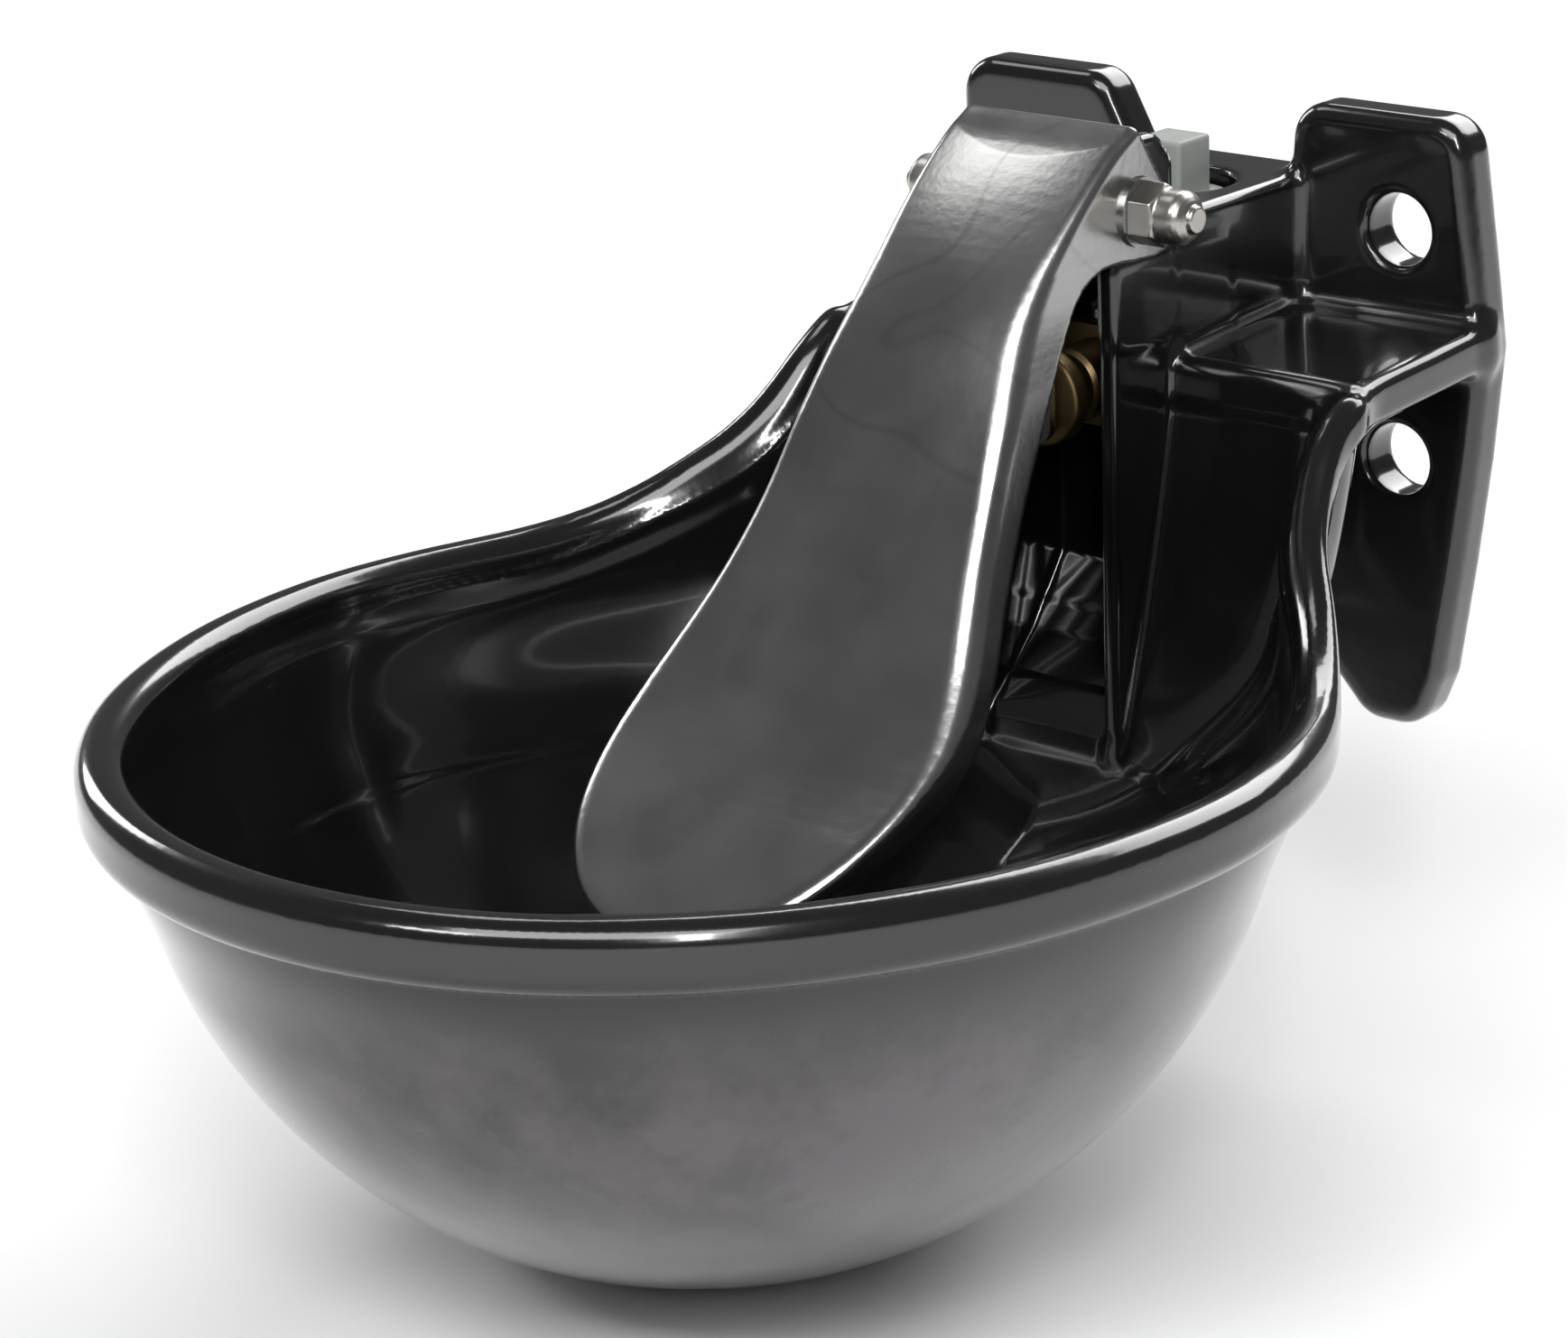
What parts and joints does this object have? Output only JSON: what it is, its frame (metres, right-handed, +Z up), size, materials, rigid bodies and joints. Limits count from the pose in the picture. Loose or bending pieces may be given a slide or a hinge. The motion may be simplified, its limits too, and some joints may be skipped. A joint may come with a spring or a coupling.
{
  "type": "livestock drinking bowl",
  "caption": "Wall-hung cast drinking bowl for cattle or horses with a curved press paddle on a hinge axle that opens a push valve fed through a threaded inlet.",
  "frame": {"origin": "centre of the four fixing holes on the flat back face", "axes": "+X to the right as one faces the bowl, +Y into the wall, +Z up"},
  "size_m": [0.264, 0.3418, 0.2291],
  "materials": {
    "black_enamel": "glossy black enamel",
    "bush_plastic": "moulded",
    "washer_plastic": "moulded",
    "brass_body": "machined",
    "gasket_rubber": "matt",
    "seat_plastic": "moulded",
    "guide_plastic": "moulded",
    "o_ring_rubber": "matt",
    "cage_plastic": "moulded",
    "spring_steel": "drawn wire",
    "strainer_plastic": "moulded",
    "plug_plastic": "moulded",
    "plug_seal_rubber": "matt",
    "screw_ring_rubber": "matt",
    "stainless_sheet": "satin",
    "stainless_bracket": "satin",
    "stainless_bar": "turned",
    "stainless_nut": "polished",
    "stainless_washer": "stamped",
    "brass_stem": "turned",
    "brass_button": "machined",
    "seal_rubber": "matt",
    "seal_nut_brass": "machined",
    "screw_steel": "turned"
  },
  "bodies": {
    "frame": {"bowl_casting": "black_enamel", "hinge_bushes": "bush_plastic", "thrust_washers": "washer_plastic", "valve_body": "brass_body", "body_gasket": "gasket_rubber", "valve_seat": "seat_plastic", "stem_guide": "guide_plastic", "guide_o_ring": "o_ring_rubber", "spring_cage": "cage_plastic", "return_spring": "spring_steel", "inlet_strainer": "strainer_plastic", "top_plug": "plug_plastic", "top_plug_seal": "plug_seal_rubber", "flow_screw_o_ring": "screw_ring_rubber"},
    "paddle": {"press_paddle": "stainless_sheet", "striker_bracket": "stainless_bracket", "hinge_axle": "stainless_bar", "hinge_cap_nuts": "stainless_nut", "nut_washers": "stainless_washer"},
    "stem": {"valve_stem": "brass_stem", "push_button": "brass_button", "seal_disc": "seal_rubber", "seal_nut": "seal_nut_brass"},
    "screw": {"flow_screw": "screw_steel"}
  },
  "joints": [
    {"name": "paddle_hinge", "type": "hinge", "parent": "frame", "child": "paddle", "pos_m": [0, -0.0775, 0.042], "axis": [1, 0, 0], "range_deg": [0, 6]},
    {"name": "valve_stem_slide", "type": "slide", "parent": "frame", "child": "stem", "axis": [0, 1, 0], "range_m": [0, 0.0048], "stiffness_N_per_m": 1000, "springref_m": -0.015, "deforming": ["return_spring"]},
    {"name": "flow_screw_turn", "type": "hinge", "parent": "frame", "child": "screw", "pos_m": [0, -0.0588, 0.006], "axis": [0, 0, 1], "range_deg": [-180, 180]}
  ],
  "couplings": [
    {"joint": "valve_stem_slide", "follows": "paddle_hinge", "m_per_rad": 0.045}
  ]
}
